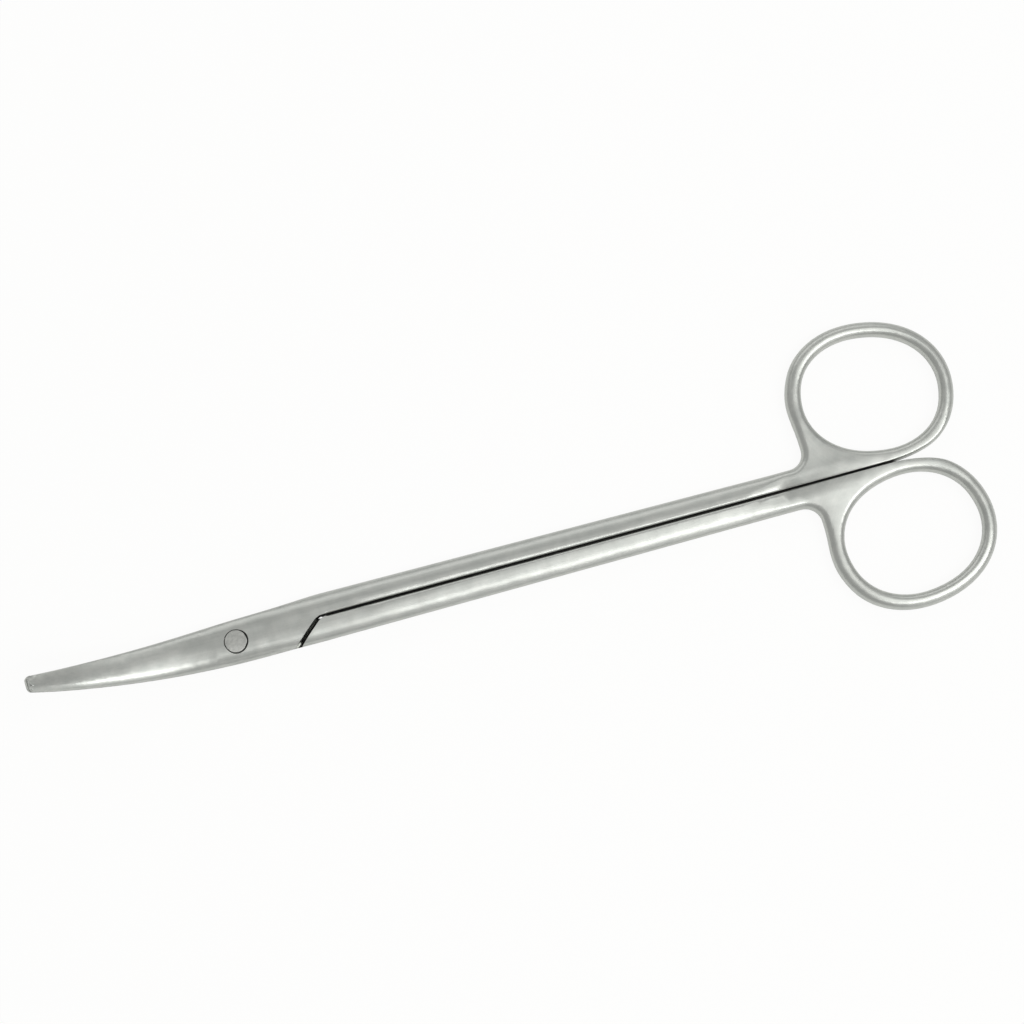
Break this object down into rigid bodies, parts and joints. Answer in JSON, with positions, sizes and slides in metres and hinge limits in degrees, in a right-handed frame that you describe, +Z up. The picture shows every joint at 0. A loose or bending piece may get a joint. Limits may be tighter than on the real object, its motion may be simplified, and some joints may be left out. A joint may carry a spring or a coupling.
{
  "type": "dissecting scissors",
  "caption": "Slim surgical scissors with upward curved blunt blades, a flush riveted lap joint, long straight shanks and oval finger rings.",
  "frame": {"origin": "on the rivet's axis, at the flat underside of the joint, which lies on the table", "axes": "+X along the shanks from the rivet to the rings, +Y towards the thumb ring, +Z up through the joint, the way the blades curve"},
  "size_m": [0.1808, 0.0561, 0.0164],
  "materials": {
    "satin_steel": "fine satin brushed",
    "rivet_steel": "matt, ground flush"
  },
  "bodies": {
    "finger_side": {"finger_half": "satin_steel", "joint_rivet": "rivet_steel"},
    "thumb_side": {"thumb_half": "satin_steel"}
  },
  "joints": [
    {"name": "blade_pivot", "type": "hinge", "parent": "finger_side", "child": "thumb_side", "pos_m": [0, 0, 0.00195], "axis": [0, 0, 1], "range_deg": [0, 90]}
  ]
}
